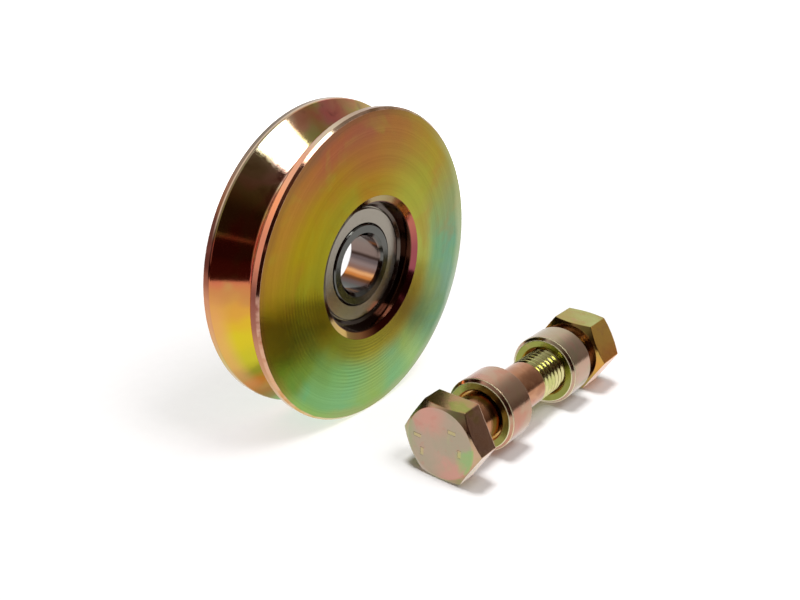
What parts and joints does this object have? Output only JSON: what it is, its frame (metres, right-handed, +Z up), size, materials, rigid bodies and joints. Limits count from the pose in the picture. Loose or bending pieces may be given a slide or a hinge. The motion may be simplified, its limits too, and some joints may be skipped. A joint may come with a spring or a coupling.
{
  "type": "gate wheel",
  "caption": "V-groove sliding-gate wheel with a shielded ball bearing in its hub, beside its axle bolt, two spacers and nut.",
  "frame": {"origin": "centre of the bearing and of the wheel, on the wheel's axis", "axes": "+Z up; +Y along the wheel's axis from the open recess to the retaining ring side; +X along the laid-out bolt, from its head to its end"},
  "size_m": [0.0982, 0.0619, 0.08],
  "materials": {
    "zinc_plate": "yellow zinc plate with an iridescent film over turned steel",
    "bearing_steel": "ground bearing steel",
    "ball_steel": "polished",
    "cage_steel": "pressed sheet steel",
    "shield_steel": "pressed sheet steel, satin",
    "spring_steel": "phosphated spring steel"
  },
  "bodies": {
    "inner_ring": {"bearing_inner_ring": "bearing_steel"},
    "wheel": {"wheel_body": "zinc_plate", "bearing_outer_ring": "bearing_steel", "shield_front": "shield_steel", "shield_rear": "shield_steel", "circlip": "spring_steel"},
    "cage": {"cage_half_front": "cage_steel", "cage_half_rear": "cage_steel", "cage_rivets": "cage_steel"},
    "ball_1": {"ball_1": "ball_steel"},
    "ball_2": {"ball_2": "ball_steel"},
    "ball_3": {"ball_3": "ball_steel"},
    "ball_4": {"ball_4": "ball_steel"},
    "ball_5": {"ball_5": "ball_steel"},
    "ball_6": {"ball_6": "ball_steel"},
    "ball_7": {"ball_7": "ball_steel"},
    "ball_8": {"ball_8": "ball_steel"},
    "bolt": {"axle_bolt": "zinc_plate"},
    "front_spacer": {"front_spacer": "zinc_plate"},
    "rear_spacer": {"rear_spacer": "zinc_plate"},
    "nut": {"hex_nut": "zinc_plate"}
  },
  "joints": [
    {"name": "wheel_spin", "type": "hinge", "parent": "inner_ring", "child": "wheel", "pos_m": [0, 0, 0], "axis": [0, 1, 0], "continuous": true},
    {"name": "cage_orbit", "type": "hinge", "parent": "inner_ring", "child": "cage", "pos_m": [0, 0, 0], "axis": [0, 1, 0], "continuous": true},
    {"name": "ball_spin_1", "type": "hinge", "parent": "cage", "child": "ball_1", "pos_m": [0.01227, 0, 0.00239], "axis": [0, 1, 0], "continuous": true},
    {"name": "ball_spin_2", "type": "hinge", "parent": "cage", "child": "ball_2", "pos_m": [0.00699, 0, 0.01036], "axis": [0, 1, 0], "continuous": true},
    {"name": "ball_spin_3", "type": "hinge", "parent": "cage", "child": "ball_3", "pos_m": [-0.00239, 0, 0.01227], "axis": [0, 1, 0], "continuous": true},
    {"name": "ball_spin_4", "type": "hinge", "parent": "cage", "child": "ball_4", "pos_m": [-0.01036, 0, 0.00699], "axis": [0, 1, 0], "continuous": true},
    {"name": "ball_spin_5", "type": "hinge", "parent": "cage", "child": "ball_5", "pos_m": [-0.01227, 0, -0.00239], "axis": [0, 1, 0], "continuous": true},
    {"name": "ball_spin_6", "type": "hinge", "parent": "cage", "child": "ball_6", "pos_m": [-0.00699, 0, -0.01036], "axis": [0, 1, 0], "continuous": true},
    {"name": "ball_spin_7", "type": "hinge", "parent": "cage", "child": "ball_7", "pos_m": [0.00239, 0, -0.01227], "axis": [0, 1, 0], "continuous": true},
    {"name": "ball_spin_8", "type": "hinge", "parent": "cage", "child": "ball_8", "pos_m": [0.01036, 0, -0.00699], "axis": [0, 1, 0], "continuous": true},
    {"name": "kit_slide", "type": "slide", "parent": "inner_ring", "child": "bolt", "axis": [0, -1, 0], "range_m": [0, 0.06]},
    {"name": "front_spacer_slide", "type": "slide", "parent": "bolt", "child": "front_spacer", "axis": [1, 0, 0], "range_m": [-0.009, 0.012]},
    {"name": "rear_spacer_slide", "type": "slide", "parent": "bolt", "child": "rear_spacer", "axis": [1, 0, 0], "range_m": [-0.0093, 0.0035]},
    {"name": "nut_screw", "type": "hinge", "parent": "rear_spacer", "child": "nut", "pos_m": [0.0528, -0.0419, -0.0305], "axis": [1, 0, 0], "range_deg": [-1920, 730]}
  ],
  "couplings": [
    {"joint": "cage_orbit", "follows": "wheel_spin", "ratio": 0.61906},
    {"joint": "ball_spin_1", "follows": "wheel_spin", "ratio": 1.9807},
    {"joint": "ball_spin_2", "follows": "wheel_spin", "ratio": 1.9807},
    {"joint": "ball_spin_3", "follows": "wheel_spin", "ratio": 1.9807},
    {"joint": "ball_spin_4", "follows": "wheel_spin", "ratio": 1.9807},
    {"joint": "ball_spin_5", "follows": "wheel_spin", "ratio": 1.9807},
    {"joint": "ball_spin_6", "follows": "wheel_spin", "ratio": 1.9807},
    {"joint": "ball_spin_7", "follows": "wheel_spin", "ratio": 1.9807},
    {"joint": "ball_spin_8", "follows": "wheel_spin", "ratio": 1.9807},
    {"joint": "nut_screw", "follows": "rear_spacer_slide", "rad_per_m": 3590.4}
  ]
}
